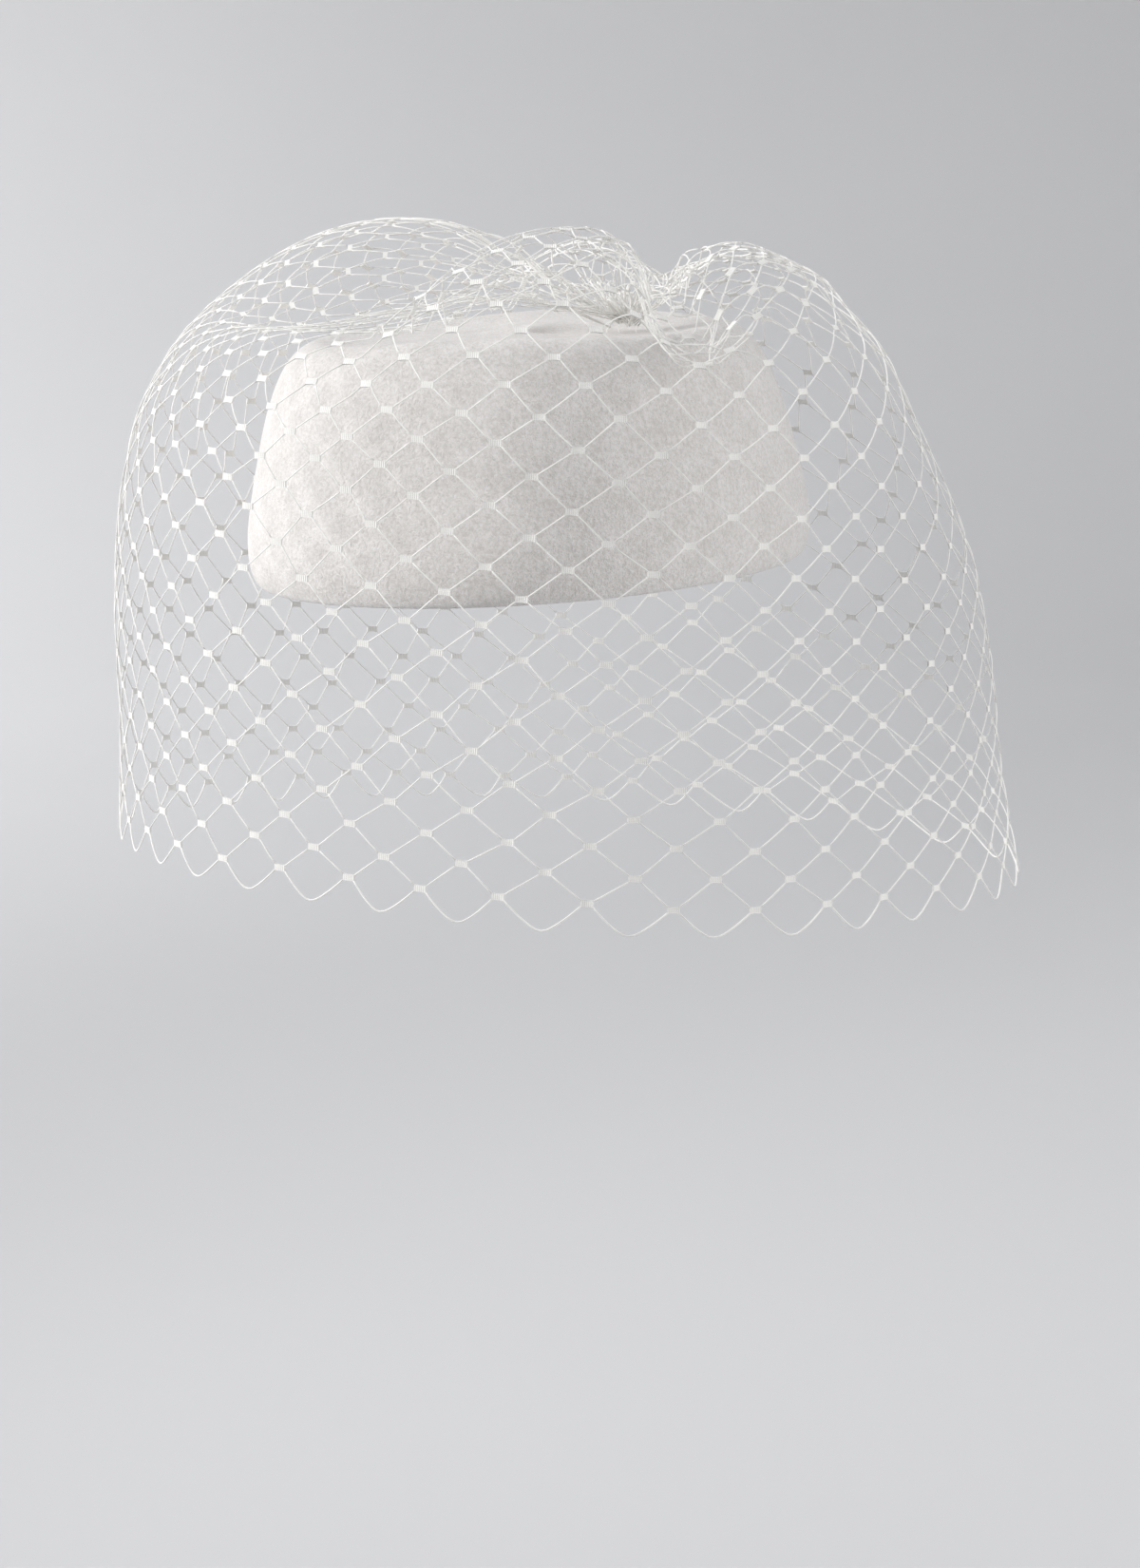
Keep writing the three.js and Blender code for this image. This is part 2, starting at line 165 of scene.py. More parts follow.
CURLS_SHORT = (
    ((85, -23, 69), (87, -24, 71), (89, -23, 74), (90, -20, 78), (88, -17, 80), (85, -16, 83),
     (84, -15, 86)),
    ((85, -24, 69), (83, -20, 74), (82, -16, 78), (82, -14, 83), (84, -15, 86)),
    ((84, -15, 86), (81, -14, 89), (79, -13, 91), (77, -13, 93)),
    ((84, -15, 86), (86, -17, 89), (89, -16, 91), (91, -12, 92), (91, -6, 92)),
    ((77, -13, 94), (77, -18, 96), (78, -24, 96)),
    ((77, -13, 94), (74, -12, 90), (74, -15, 86), (77, -18, 84)),
    ((77, -13, 94), (79, -12, 96), (81, -7, 97), (80, 0, 95)),
    ((80, 0, 95), (84, 1, 96), (87, -1, 95), (89, 0, 92)),
    ((91, -6, 92), (93, -6, 89), (92, -5, 87), (90, -4, 84)),
    ((90, -4, 84), (92, -6, 81), (91, -9, 77), (90, -8, 77)),
    ((90, -8, 77), (86, -8, 76), (83, -10, 76), (82, -17, 74), (85, -24, 73)),
    ((90, -8, 76), (89, -17, 72), (87, -22, 69), (85, -23, 69)),
    ((90, -4, 84), (91, 5, 84), (92, 10, 81), (93, 17, 76)),
)
CURL_KNOTS = (  # x, y and z of its place and of its direction
    (85, -24, 69, 0.83, 0.56, 0), (84, -15, 86, 0, 0, 1), (77, -13, 94, 0.4, 0.2, 0.8),
    (78, -24, 96, 0.8, 0.5, 0), (91, -6, 92, 0.6, 0.6, -0.3), (90, -4, 84, 0.7, 0.5, 0.4),
    (90, -8, 77, 0.8, 0.5, 0.1), (80, 0, 95, 0.8, 0.6, 0.1), (77, -18, 84, 0.8, 0.5, 0),
)
CURL_POINTS = (61, 15)  # on a long and on a short loop
CURL_KNOT_SIZE = 0.55
CURLS_FACE = (0.55, -0.8, 0.2)

# The view of the photo: angles in degrees, distances in metres, the lens in pixels of a
# 1200 by 1650 picture.
VIEW = {
    "azimuth": 35.0,
    "elevation": 8.05,
    "distance": 1.03,
    "focal": 3254.0,
    "origin_at": (562.95, 592.9),
    "roll": -2.29,
}
PICTURE = (1200, 1650)
SENSOR = 36.0

# The studio: a flat floor that sweeps up to a wall, in metres, and its lights, whose places and
# aims are to the camera's right, towards the camera and up.
FLOOR_MIDDLE, FLOOR_FLAT, FLOOR_SWEEP = 0.6, 1.8, 0.9
WALL_REACH, WALL_RISE = 2.75, 2.6
ROOM_COLOUR, ROOM_STRENGTH = (0.95, 0.965, 1.0, 1), 0.7
WINDOW_ANGLE, WINDOW_BLEND = 44, 0.9
LIGHTS = (  # name, kind, place, aim, size, power
    ("window_light", "SPOT", (-1.75, 0.45, 0.6), (0, 0, 0), 0.56, 150),
    ("soft_fill", "AREA", (1.5, 0.9, 0.45), (0, 0, 0), 1.0, 17),
    ("wall_light", "AREA", (-1.5, -1.5, 1.5), (-1.3, -2.0, -0.36), 1.3, 44),
)


def smooth(value):
    """An even step from 0 to 1."""
    part = np.clip(value, 0.0, 1.0)
    return part * part * (3 - 2 * part)


def wrapped(degrees):
    return (np.asarray(degrees, dtype=float) + 180) % 360 - 180


def level(column, place):
    """A smooth curve through one column of the levels, at any rows of the net."""
    x, y = LEVELS["row"], LEVELS[column]
    at = np.clip(place, x[0], x[-1])
    i = np.clip(np.searchsorted(x, at) - 1, 0, len(x) - 2)
    step = np.diff(x)
    rise = np.diff(y) / step
    inner = (rise[:-1] * step[1:] + rise[1:] * step[:-1]) / (step[:-1] + step[1:])
    slope = np.concatenate(([rise[0]], inner, [rise[-1]]))
    h = step[i]
    t = (at - x[i]) / h
    return (
        (2 * t**3 - 3 * t**2 + 1) * y[i]
        + (t**3 - 2 * t**2 + t) * h * slope[i]
        + (3 * t**2 - 2 * t**3) * y[i + 1]
        + (t**3 - t**2) * h * slope[i + 1]
    )


def between(part, a, b, c, d):
    """A value part of the way from b to c, on a smooth curve through four even steps."""
    bend = 2 * a - 5 * b + 4 * c - d + part * (3 * (b - c) + d - a)
    return b + 0.5 * part * (c - a + part * bend)


def oval_share(bearing):
    place = (wrapped(bearing) + 180) / 360 * len(OVAL)
    i = np.floor(place).astype(int)
    return between(place - i, *(OVAL[(i + j) % len(OVAL)] for j in (-1, 0, 1, 2)))


def bell(off, spread):
    return np.exp(-((off / spread) ** 2))


def fold_at(bearing):
    return np.minimum(1, sum(d * bell(wrapped(bearing - b), s) for b, s, d in FOLDS))


def puff_rise(bearing):
    weights = [bell(wrapped(bearing - b), PUFF_SPREAD) for b, _ in PUFFS]
    return sum(w * rise for w, (_, rise) in zip(weights, PUFFS)) / sum(weights)


def veil_point(bearing, row):
    """Points of the netting in metres, at bearings and rows of the same shape."""
    fold = fold_at(bearing)
    stand = (level("height", row) - level("fold_height", row)) * puff_rise(bearing) * (1 - fold)
    flat = level("reach", row) + (level("fold_reach", row) - level("reach", row)) * fold
    reach = flat * (1 + level("oval", row) * (oval_share(bearing) - 1))
    x = level("x", row) + reach * np.sin(np.radians(bearing))
    y = level("y", row) - reach * np.cos(np.radians(bearing))
    hanging = smooth((TILT_NONE - row) / TILT_OVER)
    z = level("fold_height", row) + stand + hanging * (HEM_TILT[0] * x + HEM_TILT[1] * y)
    dip = bell(wrapped(bearing - DIP["bearing"]), DIP["spread"])
    dip = dip * bell(row - DIP["row"], DIP["rows"])
    z = np.maximum(z - DIP["drop"] * dip, felt_top(x, y) + FELT_GAP)
    return np.stack((x, y, z), axis=-1) * MM


def felt_top(x, y):
    """Height in millimetres of the felt's outside over a place, and far below it elsewhere."""
    share = np.hypot((x - CROWN_LEAN[0]) / OPENING_HALF[0], (y - CROWN_LEAN[1]) / OPENING_HALF[1])
    return np.interp(share, SHOULDER[:, 1], SHOULDER[:, 0], right=-200)


def way_round():
    """The share of the way round the veil at each bearing, by the length of its cloth."""
    bearings = np.linspace(-180, 180, ROUND_STEPS + 1)
    flat = veil_point(bearings, np.full_like(bearings, LEAN_MIDDLE))[:, :2]
    steps = np.linalg.norm(np.diff(flat, axis=0), axis=1)
    walked = np.concatenate(([0.0], np.cumsum(steps)))
    return bearings, walked / walked[-1]


ROUND_BEARINGS, ROUND_SHARES = way_round()
FRONT_SHARE = ROUND_SHARES[ROUND_STEPS // 2]


def column_bearing(column, row):
    """The bearing of a column at a row, counted on past a whole turn."""
    leaning = np.minimum(row, LEAN_END)
    lean = COLUMN_LEAN * (leaning - LEAN_MIDDLE)
    twist = COLUMN_TWIST * np.maximum(0, leaning - TWIST_START)
    even = COLUMN_START + column / NET_COLUMNS + lean + twist
    crowd = CROWDING["share"] * np.sin(2 * np.pi * (even - CROWDING["from"]))
    share = even + crowd + FRONT_SHARE
    turns = np.floor(share)
    bearing = np.interp(share - turns, ROUND_SHARES, ROUND_BEARINGS)
    return bearing + 360 * turns


def net_point(column, row):
    """Points of the net at columns and rows."""
    column = np.asarray(column, dtype=float)
    row = np.asarray(row, dtype=float)
    return veil_point(column_bearing(column, row), row)


def unevenness(column, row):
    """How far each knot sits from its even place, round the veil and up it, in metres."""
    turn = 2 * np.pi * column / NET_COLUMNS
    aside = 0.5 * np.sin(7 * turn + 1.9 * row) + 0.4 * np.sin(13 * turn - 1.3 * row + 2)
    above = 0.5 * np.sin(5 * turn - 0.8 * row + 1) + 0.35 * np.sin(11 * turn + 2.3 * row)
    return aside * MM, above * MM


def net_frame(column, row):
    """Points of the net with the directions round it, up it and out of it."""
    step = 0.05
    here = net_point(column, row)
    round_it = net_point(column + step, row) - net_point(column - step, row)
    high = np.minimum(row + step, LAST_ROW)
    low = np.maximum(row - step, 0)
    up_it = net_point(column, high) - net_point(column, low)
    out = np.cross(round_it, up_it)
    round_it /= np.linalg.norm(round_it, axis=-1, keepdims=True)
    out /= np.linalg.norm(out, axis=-1, keepdims=True)
    return here, round_it, np.cross(out, round_it), out


def deselected():
    if bpy.context.mode != "OBJECT":
        bpy.ops.object.mode_set(mode="OBJECT")
    bpy.ops.object.select_all(action="DESELECT")


def chosen(objects):
    deselected()
    for item in objects:
        item.select_set(True)
    bpy.context.view_layer.objects.active = objects[0]


def bar_template(sides, rings, ring_scales=None, turn=0.0):
    """A closed bar one unit long on Z with evenly spaced rings, as arrays of corners and faces."""
    deselected()
    bpy.ops.mesh.primitive_cylinder_add(
        vertices=sides, radius=1, depth=1, end_fill_type="NGON", location=(0, 0, 0.5),
        rotation=(0, 0, turn),
    )
    bar = bpy.context.object
    bpy.ops.object.transform_apply(location=True, rotation=True)
    bpy.ops.object.mode_set(mode="EDIT")
    bpy.ops.mesh.select_all(action="DESELECT")
    edit = bmesh.from_edit_mesh(bar.data)
    for edge in edit.edges:
        low, high = sorted(corner.co.z for corner in edge.verts)
        edge.select_set(high - low > 0.5)
    bmesh.update_edit_mesh(bar.data)
    bpy.ops.mesh.subdivide(number_cuts=rings - 2)
    if ring_scales is not None:
        bpy.ops.mesh.select_mode(type="VERT")
        for number, (wide, thick) in enumerate(ring_scales):
            bpy.ops.mesh.select_all(action="DESELECT")
            edit = bmesh.from_edit_mesh(bar.data)
            for corner in edit.verts:
                corner.select_set(abs(corner.co.z * (rings - 1) - number) < 0.3)
            edit.select_flush(True)
            bmesh.update_edit_mesh(bar.data)
            centre = (0, 0, number / (rings - 1))
            bpy.ops.transform.resize(value=(wide, thick, 1), center_override=centre)
    bpy.ops.object.mode_set(mode="OBJECT")
    mesh = bar.data
    corners = np.array([corner.co[:] for corner in mesh.vertices])
    faces = [tuple(face.vertices) for face in mesh.polygons]
    bpy.data.objects.remove(bar)
    bpy.data.meshes.remove(mesh)
    return corners, faces


def laid_bars(name, template, lines, outs, half_wide, half_thick, soft=True):
    """One mesh of copies of a bar, each laid along its own line of points."""
    corners, faces = template
    count, rings = lines.shape[:2]
    ring = np.rint(corners[:, 2] * (rings - 1)).astype(int)
    along = np.gradient(lines, axis=1)
    along /= np.linalg.norm(along, axis=-1, keepdims=True)
    side = np.cross(along, outs)
    side /= np.linalg.norm(side, axis=-1, keepdims=True)
    out = np.cross(side, along)
    wide = np.broadcast_to(half_wide, (count, rings))[:, ring, None]
    thick = np.broadcast_to(half_thick, (count, rings))[:, ring, None]
    points = (
        lines[:, ring]
        + side[:, ring] * corners[:, 0, None] * wide
        + out[:, ring] * corners[:, 1, None] * thick
    )
    per = len(corners)
    all_faces = []
    for i in range(count):
        all_faces.extend(tuple(i * per + j for j in face) for face in faces)
    mesh = bpy.data.meshes.new(name)
    mesh.from_pydata(points.reshape(-1, 3).tolist(), [], all_faces)
    uv = mesh.uv_layers.new(name="UVMap")
    turned = (np.arctan2(corners[:, 1], corners[:, 0]) / (2 * np.pi)) % 1.0
    lengths = np.linalg.norm(np.diff(lines, axis=1), axis=-1)
    walked = np.concatenate((np.zeros((count, 1)), np.cumsum(lengths, axis=1)), axis=1)
    where = np.empty((count, per, 2))
    where[:, :, 0] = turned
    where[:, :, 1] = walked[:, ring] / MM
    numbers = np.empty(len(mesh.loops), dtype=np.int32)
    mesh.loops.foreach_get("vertex_index", numbers)
    uv.data.foreach_set("uv", where.reshape(-1, 2)[numbers].ravel())
    mesh.polygons.foreach_set("use_smooth", np.full(len(mesh.polygons), soft))
    piece = bpy.data.objects.new(name, mesh)
    bpy.context.collection.objects.link(piece)
    mesh.update()
    return piece


def dressed(piece, node, finish):
    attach(piece, "root")
    if node:
        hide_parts(node)
    piece.data.materials.clear()
    piece.data.materials.append(finish)


def new_material(name):
    material = bpy.data.materials.new(name)
    material.use_nodes = True
    return material, material.node_tree, material.node_tree.nodes["Principled BSDF"]


def linked(tree, output, target):
    tree.links.new(output, target)


def noise(tree, coordinates, scale, detail, roughness=0.5):
    node = tree.nodes.new("ShaderNodeTexNoise")
    node.inputs["Scale"].default_value = scale
    node.inputs["Detail"].default_value = detail
    node.inputs["Roughness"].default_value = roughness
    linked(tree, coordinates, node.inputs["Vector"])
    return node.outputs["Fac"]


def ramp(tree, value, low, high, dark, light):
    node = tree.nodes.new("ShaderNodeMapRange")
    node.inputs["From Min"].default_value = low
    node.inputs["From Max"].default_value = high
    linked(tree, value, node.inputs["Value"])
    mix = tree.nodes.new("ShaderNodeMix")
    mix.data_type = "RGBA"
    mix.inputs["A"].default_value = (*dark, 1)
    mix.inputs["B"].default_value = (*light, 1)
    linked(tree, node.outputs["Result"], mix.inputs["Factor"])
    return mix.outputs["Result"]


def bumped(tree, shader, heights, distance, strength):
    node = tree.nodes.new("ShaderNodeBump")
    node.inputs["Distance"].default_value = distance
    node.inputs["Strength"].default_value = strength
    linked(tree, heights, node.inputs["Height"])
    linked(tree, node.outputs["Normal"], shader.inputs["Normal"])


def added(tree, first, second, weight):
    node = tree.nodes.new("ShaderNodeMath")
    node.operation = "MULTIPLY_ADD"
    linked(tree, second, node.inputs[0])
    node.inputs[1].default_value = weight
    linked(tree, first, node.inputs[2])
    return node.outputs[0]


def felt_finish(colour):
    """White wool felt: cloudy wool, a fine matted grain and a soft sheen of fibre ends."""
    material, tree, shader = new_material("white_wool_felt")
    place = tree.nodes.new("ShaderNodeTexCoord").outputs["Object"]
    clouds = noise(tree, place, 110, 3, 0.6)
    grain = noise(tree, place, 2200, 3, 0.7)
    matting = noise(tree, place, 800, 4, 0.65)
    mixed = added(tree, added(tree, matting, grain, 0.8), clouds, 0.4)
    dark = (0.76 * colour[0], 0.75 * colour[1], 0.73 * colour[2])
    linked(tree, ramp(tree, mixed, 0.9, 1.28, dark, colour), shader.inputs["Base Color"])
    shader.inputs["Roughness"].default_value = 0.95
    shader.inputs["Specular IOR Level"].default_value = 0.2
    shader.inputs["Sheen Weight"].default_value = 0.35
    shader.inputs["Sheen Roughness"].default_value = 0.6
    bumped(tree, shader, added(tree, matting, grain, 0.7), 0.0007, 1.0)
    return material


def thread_finish(colour):
    """Off-white twisted thread: slanting plies along the strand and a soft sheen."""
    material, tree, shader = new_material("off_white_thread")
    place = tree.nodes.new("ShaderNodeUVMap")
    place.uv_map = "UVMap"
    plies = banded(tree, place.outputs["UV"], "DIAGONAL", 1.2)
    cloud = noise(tree, tree.nodes.new("ShaderNodeTexCoord").outputs["Object"], 140, 2)
    dark = tuple(0.9 * part for part in colour)
    linked(tree, ramp(tree, cloud, 0.35, 0.65, dark, colour), shader.inputs["Base Color"])
    shader.inputs["Roughness"].default_value = 0.6
    shader.inputs["Sheen Weight"].default_value = 0.3
    bumped(tree, shader, plies, 0.0001, 0.5)
    return material


def knot_finish(colour):
    """The thread woven close: ribs across a knot and finer lines along it, as a bump and as painted
    shade that darkens the colour in the grooves between them.
    """
    material, tree, shader = new_material("woven_knot")
    place = tree.nodes.new("ShaderNodeUVMap")
    place.uv_map = "UVMap"
    ribs = banded(tree, place.outputs["UV"], "Y", 0.52)
    lines = banded(tree, place.outputs["UV"], "X", 5.0)
    weave_with_painted_shade = added(tree, ribs, lines, 0.5)
    # painted shade: the knot's colour is darker in the grooves between ribs and lines, where the
    # bump is lowest
    dark = tuple(0.8 * part for part in colour)
    linked(tree, ramp(tree, weave_with_painted_shade, 0.1, 1.1, dark, colour), shader.inputs["Base Color"])
    shader.inputs["Roughness"].default_value = 0.65
    shader.inputs["Sheen Weight"].default_value = 0.3
    bumped(tree, shader, weave_with_painted_shade, 0.00015, 0.6)
    return material


def banded(tree, coordinates, direction, scale):
    bands = tree.nodes.new("ShaderNodeTexWave")
    bands.bands_direction = direction
    bands.inputs["Scale"].default_value = scale
    linked(tree, coordinates, bands.inputs["Vector"])
    return bands.outputs["Fac"]


def plain_finish(name, colour, roughness):
    material, tree, shader = new_material(name)
    place = tree.nodes.new("ShaderNodeTexCoord").outputs["Object"]
    cloud = noise(tree, place, 1.5, 3)
    dark = tuple(0.97 * part for part in colour)
    linked(tree, ramp(tree, cloud, 0.3, 0.7, dark, colour), shader.inputs["Base Color"])
    shader.inputs["Roughness"].default_value = roughness
    return material


class FeltSettings(bpy.types.PropertyGroup):
    wall: FloatProperty(
        name="Felt wall", description="Thickness of the felt",
        default=2.5 * MM, min=0.5 * MM, max=6 * MM, unit="LENGTH",
    )
    sides: IntProperty(
        name="Sides", description="Corners round the felt before it is smoothed", default=72, min=24
    )
    colour: FloatVectorProperty(
        name="Felt colour", description="Colour of the wool",
        default=(0.87, 0.84, 0.82), subtype="COLOR", size=3, min=0, max=1,
    )


class NetSettings(bpy.types.PropertyGroup):
    strand: FloatProperty(
        name="Strand", description="Thickness of one strand of the net",
        default=0.46 * MM, min=0.1 * MM, max=3 * MM, unit="LENGTH",
    )
    knot_long: FloatProperty(
        name="Knot length", description="Length of a woven knot, round the veil",
        default=3.9 * MM, min=0.5 * MM, max=10 * MM, unit="LENGTH",
    )
    knot_high: FloatProperty(
        name="Knot height", description="Height of a woven knot",
        default=2.3 * MM, min=0.5 * MM, max=10 * MM, unit="LENGTH",
    )
    knot_thick: FloatProperty(
        name="Knot thickness", description="Thickness of a woven knot",
        default=0.6 * MM, min=0.2 * MM, max=4 * MM, unit="LENGTH",
    )
    colour: FloatVectorProperty(
        name="Thread colour", description="Colour of the netting's thread",
        default=(0.90, 0.885, 0.85), subtype="COLOR", size=3, min=0, max=1,
    )


class StudioSettings(bpy.types.PropertyGroup):
    floor: FloatProperty(
        name="Floor", description="Height of the floor under the hat",
        default=-0.36, min=-2, max=-0.15, unit="LENGTH",
    )
    colour: FloatVectorProperty(
        name="Floor colour", description="Colour of the seamless floor",
        default=(0.53, 0.53, 0.535), subtype="COLOR", size=3, min=0, max=1,
    )


class HAT_OT_felt(bpy.types.Operator):
    """Block the felt crown from a ring of felt, drawn up to the tip"""

    bl_idname = "hat.felt"
    bl_label = "Felt Crown"

    def execute(self, context):
        settings = context.scene.hat_felt
        size = [part * MM for part in OPENING_HALF]
        deselected()
        reach = FELT_OUTSIDE[0][1]
        bpy.ops.mesh.primitive_circle_add(vertices=settings.sides, radius=1, fill_type="NOTHING")
        felt = context.object
        felt.name = felt.data.name = "felt_cap"
        felt.data.uv_layers.new(name="UVMap")
        bpy.ops.object.mode_set(mode="EDIT")
        bpy.ops.mesh.select_all(action="SELECT")
        bpy.ops.transform.resize(value=(size[0] * reach, size[1] * reach, 1))
        at = Vector((0, 0, 0))
        for next_height, next_reach in FELT_OUTSIDE[1:]:
            bpy.ops.mesh.extrude_edges_move()
            lean = next_height / CROWN_HEIGHT
            to = Vector((CROWN_LEAN[0] * lean, CROWN_LEAN[1] * lean, next_height)) * MM
            bpy.ops.transform.translate(value=to - at)
            scale = next_reach / reach
            bpy.ops.transform.resize(value=(scale, scale, 1), center_override=to)
            at, reach = to, next_reach
        bpy.ops.mesh.edge_face_add()
        bpy.ops.mesh.poke()
        bpy.ops.mesh.select_all(action="SELECT")
        bpy.ops.mesh.normals_make_consistent(inside=False)
        bpy.ops.mesh.faces_shade_smooth()
        bpy.ops.object.mode_set(mode="OBJECT")
        self.soften(felt)
        wall = felt.modifiers.new("wall", "SOLIDIFY")
        wall.thickness = settings.wall
        wall.offset = -1
        wall.use_even_offset = True
        rounding = felt.modifiers.new("rounding", "SUBSURF")
        rounding.levels = rounding.render_levels = 2
        chosen([felt])
        for modifier in ("wall", "rounding"):
            bpy.ops.object.modifier_apply(modifier=modifier)
        dressed(felt, "felt_crown", felt_finish(settings.colour))
        return {"FINISHED"}

    def soften(self, felt):
        """Gives the felt the slight unevenness that hand blocking leaves."""
        for corner in felt.data.vertices:
            place = corner.co
            angle = math.atan2(place.x, -place.y)
            high = max(0.0, place.z / (CROWN_HEIGHT * MM))
            wave = 0.5 * math.sin(3 * angle + 1) + 0.35 * math.sin(5 * angle + 2.4)
            out = 1 + BLOCKING_WAVE * wave * high
            lift = math.sin(2 * angle + 0.7) + 0.5 * math.sin(4 * angle)
            place.x *= out
            place.y *= out
            place.z += BLOCKING_LIFT * high**3 * lift


def knot_places():
    """The column and row of every knot: a row's knots stand between those of the row below."""
    rows = range(1, LAST_ROW)
    places = [(column + (row + 1) % 2 / 2, row) for row in rows for column in range(NET_COLUMNS)]
    return np.array(places, dtype=float)


def knot_frame(column, row):
    """Each knot's place and directions, and how much of its full size it has in the gather."""
    even, round_it, up_it, out = net_frame(column, row)
    beside = np.linalg.norm(net_point(column + 0.5, row) - even, axis=-1)
    fit = np.clip(beside / (FULL_SPACING * MM), LEAST_FIT, 1.0)[..., None]
    aside, above = unevenness(column, row)
    here = even + fit * (aside[..., None] * round_it + above[..., None] * up_it)
    crumple = CRUMPLE * MM * smooth((row - CRUMPLE_START) / CRUMPLE_OVER)[..., None]
    here = here + crumple * tossed(column, row)
    return here, round_it, up_it, out, fit


def tossed(column, row):
    """A different direction for each knot, always the same one for the same knot."""
    seeds = np.stack((column * 12.9898 + row * 78.233, column * 39.346 + row * 11.135,
                      column * 73.156 + row * 52.235), axis=-1)
    return 2 * np.modf(np.abs(np.sin(seeds) * 43758.5453))[0] - 1


def knot_corner(settings):
    """How far from a knot's middle its strands leave it, along it and up it."""
    return KNOT_CORNER[0] * settings.knot_long / 2, KNOT_CORNER[1] * settings.knot_high / 2


def strand_lines(settings, points):
    """Lines of points from each knot to the two knots above it, from corner to corner."""
    lines = []
    for column, row in knot_places():
        lines.extend((column, row, column + side / 2, row + 1, side) for side in (-1, 1))
    lines = np.array(lines)
    low, low_round, low_up, _, low_fit = knot_frame(lines[:, 0], lines[:, 1])
    high, high_round, high_up, _, high_fit = knot_frame(lines[:, 2], lines[:, 3])
    side = lines[:, 4, None]
    corner, lift = knot_corner(settings)
    first = low + low_fit * (side * corner * low_round + lift * low_up)
    last = high - high_fit * (side * corner * high_round + lift * high_up)
    share = np.linspace(0, 1, points)
    bearings = lines[:, 0, None] + (lines[:, 2] - lines[:, 0])[:, None] * share
    heights = lines[:, 1, None] + (lines[:, 3] - lines[:, 1])[:, None] * share
    middle, _, _, out = net_frame(bearings, heights)
    shift_first = first - middle[:, 0]
    shift_last = last - middle[:, -1]
    ease = share[None, :, None]
    path = middle + shift_first[:, None] * (1 - ease) + shift_last[:, None] * ease
    return path, out


class HAT_OT_net_strands(bpy.types.Operator):
    """Lay the strands of the netting between its knots"""

    bl_idname = "hat.net_strands"
    bl_label = "Net Strands"

    def execute(self, context):
        settings = context.scene.hat_net
        path, out = strand_lines(settings, STRAND_POINTS)
        template = bar_template(STRAND_SIDES, STRAND_POINTS)
        half = settings.strand / 2
        net = laid_bars("net_strands", template, path, out, half, half)
        dressed(net, "veil", thread_finish(settings.colour))
        return {"FINISHED"}


class HAT_OT_net_knots(bpy.types.Operator):
    """Weave the ribbed knots where the strands meet"""

    bl_idname = "hat.net_knots"
    bl_label = "Net Knots"

    def execute(self, context):
        settings = context.scene.hat_net
        places = knot_places()
        here, round_it, _, out, fit = knot_frame(places[:, 0], places[:, 1])
        knots = woven_knots("net_knots", settings, here, round_it, out, fit[:, 0])
        dressed(knots, "veil", knot_finish(settings.colour))
        return {"FINISHED"}


def woven_knots(name, settings, here, along, out, fit):
    """Flat ribbed knots, waisted between the strands that pull at their corners."""
    place = np.linspace(-1, 1, KNOT_RINGS)
    waist = KNOT_WAIST + (1 - KNOT_WAIST) * place**2
    waist[[0, -1]] = KNOT_END
    rib = np.where(np.arange(KNOT_RINGS) % 2 == 1, 1.0, KNOT_GROOVE)
    template = bar_template(4, KNOT_RINGS, list(zip(waist, rib)), turn=math.pi / 4)
    long = (settings.knot_long * fit)[:, None, None]
    path = here[:, None] + along[:, None] * (place / 2)[None, :, None] * long
    outs = np.repeat(out[:, None], KNOT_RINGS, axis=1)
    diagonal = math.sqrt(2)
    wide = (diagonal * settings.knot_high / 2 * fit)[:, None]
    thick = (diagonal * settings.knot_thick / 2 * fit)[:, None]
    return laid_bars(name, template, path, outs, wide, thick, soft=False)


def through(points, spans):
    """A smooth line through a few points, with so many steps in each span."""
    points = np.asarray(points, dtype=float)
    padded = np.vstack((2 * points[0] - points[1], points, 2 * points[-1] - points[-2]))
    line = []
    for i in range(len(points) - 1):
        for step in range(spans):
            line.append(between(step / spans, *padded[i : i + 4]))
    return np.array(line + [points[-1]])


def spread_evenly(line, count):
    """A line of so many points, evenly spaced along another."""
    lengths = np.linalg.norm(np.diff(line, axis=0), axis=1)
    walked = np.concatenate(([0.0], np.cumsum(lengths)))
    at = np.linspace(0, walked[-1], count)
    return np.stack([np.interp(at, walked, line[:, axis]) for axis in range(3)], axis=1)


def loose_strands(name, settings, lines, points, thickness=1):
    """Strands that each follow their own line of a few points in millimetres.

    Each faces away from its own middle, with a slight slant so that no direction is nought.
    """
    paths = np.array([spread_evenly(through(line, 6), points) for line in lines]) * MM
    middle = paths.mean(axis=1, keepdims=True)
    outs = paths - middle + np.array((0.31, 0.47, 0.83)) * MM
    outs /= np.linalg.norm(outs, axis=-1, keepdims=True)
    half = thickness * settings.strand / 2
    return laid_bars(name, bar_template(STRAND_SIDES, points), paths, outs, half, half)


def heading(turn):
    """The direction out from the gather at an angle in radians, 0 to the front."""
    return np.array((math.sin(turn), -math.cos(turn), 0))


def joined(name, pieces):
    chosen(pieces)
    bpy.ops.object.join()
    whole = bpy.context.object
    whole.name = whole.data.name = name
    return whole


class HAT_OT_curls(bpy.types.Operator):
    """Turn the netting over in loose loops where the deepest fold meets the felt's top edge"""

    bl_idname = "hat.curls"
    bl_label = "Curled Loops"

    def execute(self, context):
        settings = context.scene.hat_net
        long = loose_strands("curls_long", settings, CURLS_LONG, CURL_POINTS[0])
        short = loose_strands("curls_short", settings, CURLS_SHORT, CURL_POINTS[1])
        places = np.array(CURL_KNOTS, dtype=float)
        here = places[:, :3] * MM
        along = places[:, 3:] / np.linalg.norm(places[:, 3:], axis=1, keepdims=True)
        out = np.cross(along, np.cross(CURLS_FACE, along))
        out /= np.linalg.norm(out, axis=1, keepdims=True)
        fit = np.full(len(places), CURL_KNOT_SIZE)
        knots = woven_knots("curl_knots", settings, here, along, out, fit)
        curls = joined("net_curls", [long, short, knots])
        dressed(curls, "veil", thread_finish(settings.colour))
        return {"FINISHED"}


